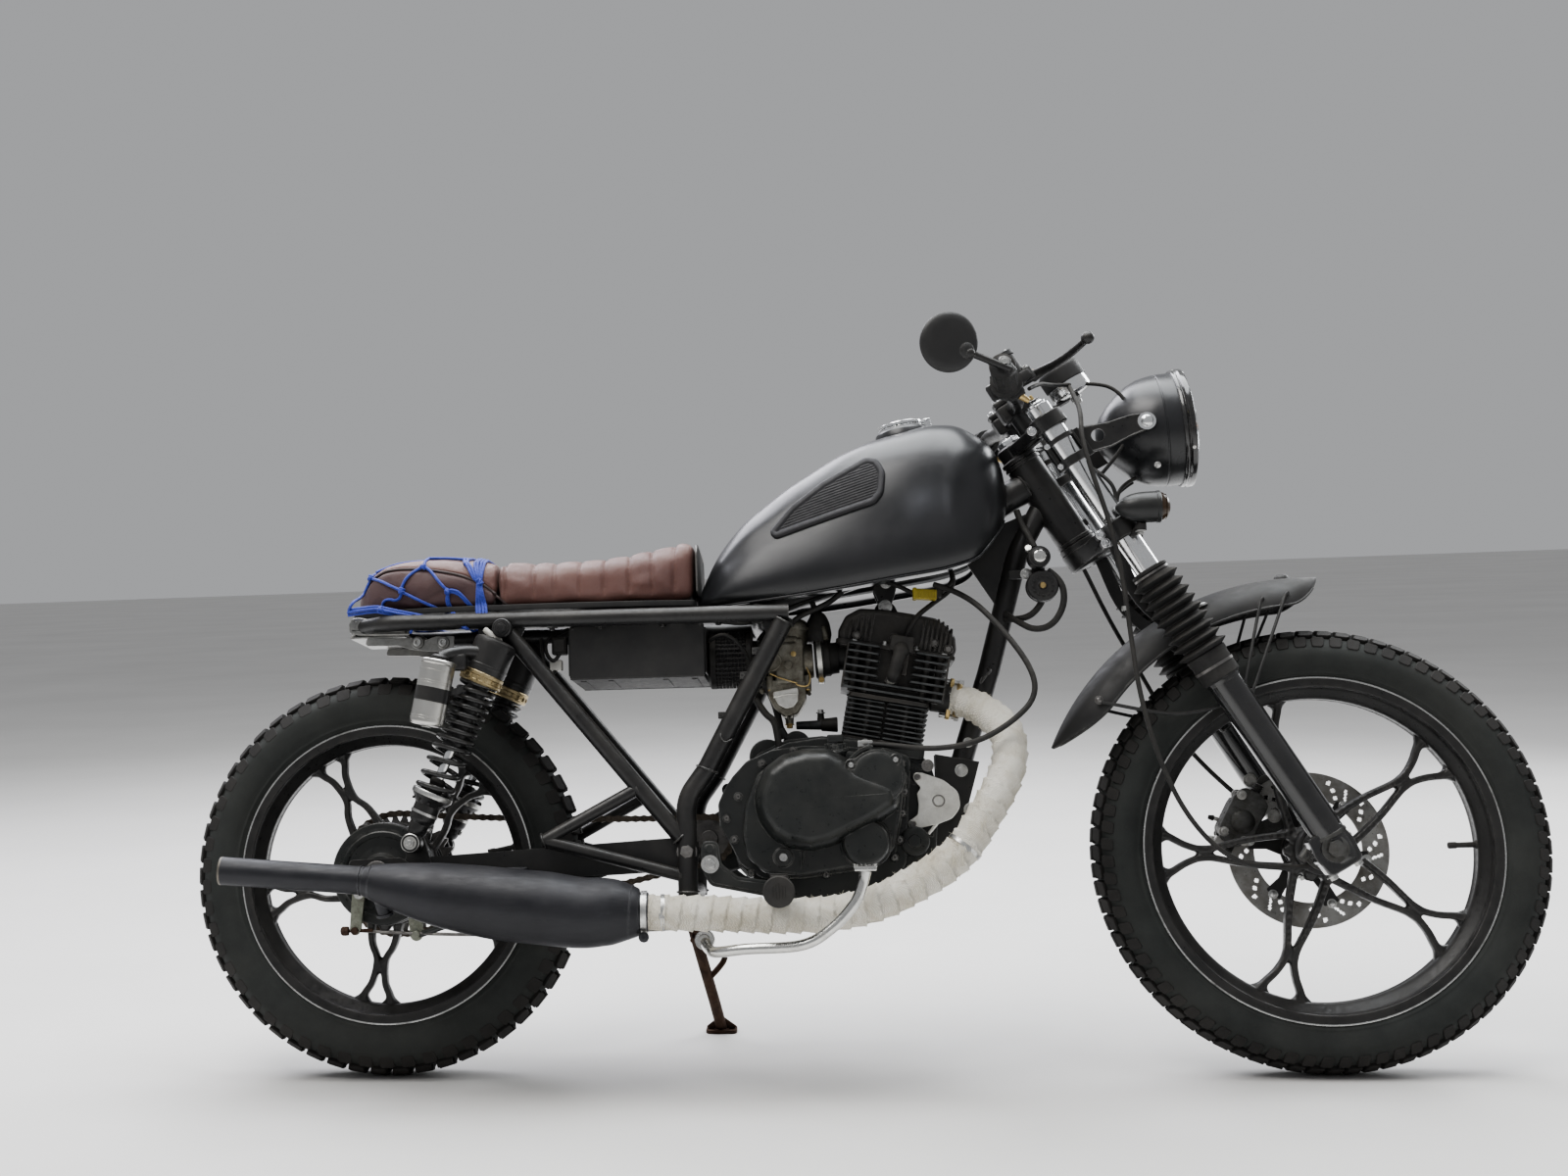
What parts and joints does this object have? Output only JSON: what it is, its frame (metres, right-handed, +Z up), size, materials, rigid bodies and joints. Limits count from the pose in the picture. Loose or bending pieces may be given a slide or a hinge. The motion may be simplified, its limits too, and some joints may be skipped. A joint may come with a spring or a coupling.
{
  "type": "cafe racer motorcycle",
  "caption": "Cafe racer motorcycle with a long flat seat, block tread tyres, cast wheels and a wrapped exhaust, leaning on its side stand.",
  "frame": {"origin": "centre of the bounding box at floor level, the machine leaning on its side stand", "axes": "+X towards the front wheel, +Y to the machine's left, +Z up"},
  "size_m": [1.9183, 0.7494, 1.0506],
  "materials": {
    "black_frame_paint": "satin",
    "black_engine_paint": "satin",
    "satin_black_tank": "satin",
    "cast_alloy": "satin",
    "black_plastic": "matte",
    "heat_wrap": "matte",
    "matt_black_steel": "matte",
    "black_rubber": "matte",
    "brown_leather": "satin",
    "blue_cord": "matte",
    "polished_metal": "polished",
    "shock_parts": "satin",
    "chain_steel": "satin",
    "fork_chrome": "polished",
    "slider_black": "gloss",
    "disc_steel": "satin",
    "lens_glass": "gloss",
    "tyre_rubber": "matte",
    "black_wheel_paint": "satin"
  },
  "bodies": {
    "frame": {"main_frame": "black_frame_paint", "seat_rails": "black_frame_paint", "side_tubes": "black_frame_paint", "crankcase": "black_engine_paint", "clutch_cover": "black_engine_paint", "cylinder": "black_engine_paint", "cylinder_head": "black_engine_paint", "carburettor": "cast_alloy", "air_filter": "black_plastic", "exhaust_header": "heat_wrap", "muffler": "matt_black_steel", "tail_pipe": "matt_black_steel", "fuel_tank": "satin_black_tank", "knee_pads": "black_rubber", "seat": "brown_leather", "seat_hump": "brown_leather", "luggage_net": "blue_cord", "tail_bracket": "polished_metal", "battery_box": "black_frame_paint", "swingarm": "black_frame_paint", "rear_brake_plate": "black_engine_paint", "shock_absorbers": "shock_parts", "shock_springs": "shock_parts", "chain": "chain_steel", "footpegs": "black_engine_paint", "foot_levers": "polished_metal", "ignition_lock": "black_plastic", "clutch_cable": "black_rubber", "stand_lug": "black_frame_paint"},
    "steering": {"fork_yokes": "black_engine_paint", "fork_stanchions": "fork_chrome", "fork_boots": "black_rubber", "fork_sliders": "slider_black", "headlight_bucket": "satin_black_tank", "headlight_lens": "lens_glass", "headlight_bracket": "black_engine_paint", "handlebar": "slider_black", "grips": "black_rubber", "hand_levers": "black_plastic", "speedometer": "black_plastic", "mirror": "black_plastic", "front_indicators": "black_plastic", "front_fender": "satin_black_tank", "brake_caliper": "disc_steel", "front_cables": "black_rubber"},
    "front_wheel": {"front_tyre": "tyre_rubber", "front_wheel_casting": "black_wheel_paint", "front_brake_disc": "disc_steel"},
    "rear_wheel": {"rear_tyre": "tyre_rubber", "rear_wheel_casting": "black_wheel_paint", "rear_sprocket": "chain_steel"},
    "side_stand": {"side_stand": "matt_black_steel"},
    "fuel_cap": {"fuel_cap": "polished_metal"}
  },
  "joints": [
    {"name": "steering_turn", "type": "hinge", "parent": "frame", "child": "steering", "pos_m": [0.31162, 0.00572, 0.80558], "axis": [-0.5045, 0.1351, 0.8528], "range_deg": [-32, 32]},
    {"name": "front_wheel_spin", "type": "hinge", "parent": "steering", "child": "front_wheel", "pos_m": [0.65185, -0.0737, 0.30413], "axis": [0, 0.9877, -0.1564], "continuous": true},
    {"name": "rear_wheel_spin", "type": "hinge", "parent": "frame", "child": "rear_wheel", "pos_m": [-0.66615, -0.07593, 0.29006], "axis": [0, 0.9877, -0.1564], "continuous": true},
    {"name": "side_stand_fold", "type": "hinge", "parent": "frame", "child": "side_stand", "pos_m": [-0.23615, 0.03003, 0.20476], "axis": [0.0833, 0.8562, 0.5099], "range_deg": [0, 88]},
    {"name": "fuel_cap_open", "type": "hinge", "parent": "frame", "child": "fuel_cap", "pos_m": [0.14205, 0.02562, 0.93123], "axis": [0, 0.9877, -0.1564], "range_deg": [0, 95]}
  ]
}
